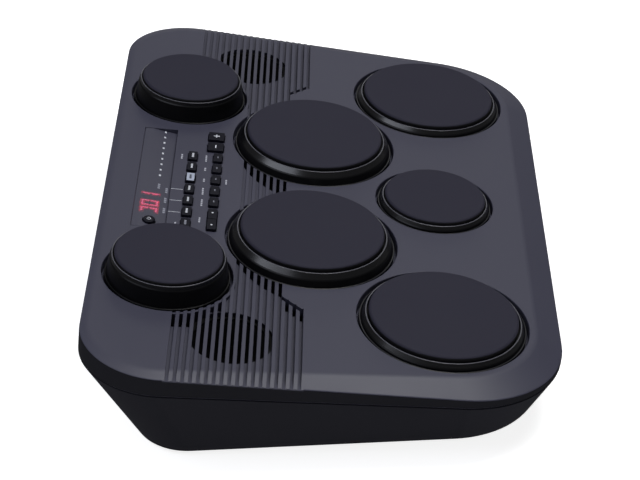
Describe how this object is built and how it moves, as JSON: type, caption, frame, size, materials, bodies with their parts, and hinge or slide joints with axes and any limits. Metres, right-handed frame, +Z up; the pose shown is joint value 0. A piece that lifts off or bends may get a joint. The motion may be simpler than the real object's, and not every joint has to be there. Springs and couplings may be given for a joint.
{
  "type": "electronic drum pad",
  "caption": "Table-top electronic drum with round rubber pads in glossy rings, a tilted deck with keys, a red digit display, ribbed speaker grilles, rear sockets and rubber feet.",
  "frame": {"origin": "centre of the footprint's bounding box, in the plane of the feet's undersides", "axes": "+X to the player's right, +Y to the rear where the sockets are, +Z up"},
  "size_m": [0.4892, 0.3228, 0.1034],
  "materials": {
    "deck": "fine matt texture",
    "tray": "fine matt texture",
    "rubber": "matt",
    "ring": "gloss",
    "steel": "plain",
    "key": "satin",
    "light_key": "satin",
    "window": "smoked gloss",
    "display": "gloss",
    "board": "solder mask",
    "speaker": "satin",
    "cone": "matt paper",
    "socket": "satin",
    "foot": "matt"
  },
  "bodies": {
    "housing": {"top_shell": "deck", "bottom_tray": "tray", "pad_rubber_rear_left": "rubber", "pad_ring_rear_left": "ring", "pad_plate_rear_left": "steel", "pad_rubber_rear_right": "rubber", "pad_ring_rear_right": "ring", "pad_plate_rear_right": "steel", "pad_rubber_mid_left": "rubber", "pad_ring_mid_left": "ring", "pad_plate_mid_left": "steel", "pad_rubber_mid_right": "rubber", "pad_ring_mid_right": "ring", "pad_plate_mid_right": "steel", "pad_rubber_front_left": "rubber", "pad_ring_front_left": "ring", "pad_plate_front_left": "steel", "pad_rubber_front_right": "rubber", "pad_ring_front_right": "ring", "pad_plate_front_right": "steel", "pad_rubber_front_centre": "rubber", "pad_ring_front_centre": "ring", "pad_plate_front_centre": "steel", "display_window": "window", "led_display": "display", "control_board": "board", "speaker_frame_left": "speaker", "speaker_cone_left": "cone", "battery_contacts_left": "steel", "speaker_frame_right": "speaker", "speaker_cone_right": "cone", "battery_contacts_right": "steel", "main_board": "board", "dc_inlet": "socket", "headphone_socket": "socket", "aux_socket": "socket", "kick_pedal_socket": "socket", "hihat_pedal_socket": "socket", "foot_front_left": "foot", "foot_front_right": "foot", "foot_rear_left": "foot", "foot_rear_right": "foot"},
    "rear_key_1": {"rear_key_1": "key"},
    "rear_key_2": {"rear_key_2": "key"},
    "rear_key_3": {"rear_key_3": "key"},
    "rear_key_4": {"rear_key_4": "key"},
    "rear_key_5": {"rear_key_5": "light_key"},
    "rear_key_6": {"rear_key_6": "key"},
    "rear_key_7": {"rear_key_7": "key"},
    "front_key_1": {"front_key_1": "key"},
    "front_key_2": {"front_key_2": "key"},
    "front_key_3": {"front_key_3": "key"},
    "front_key_4": {"front_key_4": "key"},
    "front_key_5": {"front_key_5": "key"},
    "value_down_key": {"value_down_key": "key"},
    "value_up_key": {"value_up_key": "key"},
    "power_key": {"power_key": "key"},
    "volume_rocker": {"volume_rocker": "key"},
    "battery_door": {"battery_door": "tray"}
  },
  "joints": [
    {"name": "rear_key_1_press", "type": "slide", "parent": "housing", "child": "rear_key_1", "axis": [0, 0.1024, -0.9947], "range_m": [0, 0.0008], "stiffness_N_per_m": 300, "springref_m": -0.0004},
    {"name": "rear_key_2_press", "type": "slide", "parent": "housing", "child": "rear_key_2", "axis": [0, 0.1024, -0.9947], "range_m": [0, 0.0008], "stiffness_N_per_m": 300, "springref_m": -0.0004},
    {"name": "rear_key_3_press", "type": "slide", "parent": "housing", "child": "rear_key_3", "axis": [0, 0.1024, -0.9947], "range_m": [0, 0.0008], "stiffness_N_per_m": 300, "springref_m": -0.0004},
    {"name": "rear_key_4_press", "type": "slide", "parent": "housing", "child": "rear_key_4", "axis": [0, 0.1024, -0.9947], "range_m": [0, 0.0008], "stiffness_N_per_m": 300, "springref_m": -0.0004},
    {"name": "rear_key_5_press", "type": "slide", "parent": "housing", "child": "rear_key_5", "axis": [0, 0.1024, -0.9947], "range_m": [0, 0.0008], "stiffness_N_per_m": 300, "springref_m": -0.0004},
    {"name": "rear_key_6_press", "type": "slide", "parent": "housing", "child": "rear_key_6", "axis": [0, 0.1024, -0.9947], "range_m": [0, 0.0008], "stiffness_N_per_m": 300, "springref_m": -0.0004},
    {"name": "rear_key_7_press", "type": "slide", "parent": "housing", "child": "rear_key_7", "axis": [0, 0.1024, -0.9947], "range_m": [0, 0.0008], "stiffness_N_per_m": 300, "springref_m": -0.0004},
    {"name": "front_key_1_press", "type": "slide", "parent": "housing", "child": "front_key_1", "axis": [0, 0.1024, -0.9947], "range_m": [0, 0.0008], "stiffness_N_per_m": 300, "springref_m": -0.0004},
    {"name": "front_key_2_press", "type": "slide", "parent": "housing", "child": "front_key_2", "axis": [0, 0.1024, -0.9947], "range_m": [0, 0.0008], "stiffness_N_per_m": 300, "springref_m": -0.0004},
    {"name": "front_key_3_press", "type": "slide", "parent": "housing", "child": "front_key_3", "axis": [0, 0.1024, -0.9947], "range_m": [0, 0.0008], "stiffness_N_per_m": 300, "springref_m": -0.0004},
    {"name": "front_key_4_press", "type": "slide", "parent": "housing", "child": "front_key_4", "axis": [0, 0.1024, -0.9947], "range_m": [0, 0.0008], "stiffness_N_per_m": 300, "springref_m": -0.0004},
    {"name": "front_key_5_press", "type": "slide", "parent": "housing", "child": "front_key_5", "axis": [0, 0.1024, -0.9947], "range_m": [0, 0.0008], "stiffness_N_per_m": 300, "springref_m": -0.0004},
    {"name": "value_down_key_press", "type": "slide", "parent": "housing", "child": "value_down_key", "axis": [0, 0.1024, -0.9947], "range_m": [0, 0.0008], "stiffness_N_per_m": 300, "springref_m": -0.0004},
    {"name": "value_up_key_press", "type": "slide", "parent": "housing", "child": "value_up_key", "axis": [0, 0.1024, -0.9947], "range_m": [0, 0.0008], "stiffness_N_per_m": 300, "springref_m": -0.0004},
    {"name": "power_key_press", "type": "slide", "parent": "housing", "child": "power_key", "axis": [0, 0.1024, -0.9947], "range_m": [0, 0.0008], "stiffness_N_per_m": 300, "springref_m": -0.0004},
    {"name": "volume_rocker_tilt", "type": "hinge", "parent": "housing", "child": "volume_rocker", "pos_m": [-0.0546, 0.08065, 0.07662], "axis": [0, 0.9947, 0.1024], "range_deg": [-2, 2], "stiffness_Nm_per_rad": 0.03},
    {"name": "battery_door_release", "type": "slide", "parent": "housing", "child": "battery_door", "axis": [0, 0, -1], "range_m": [0, 0.02]}
  ]
}
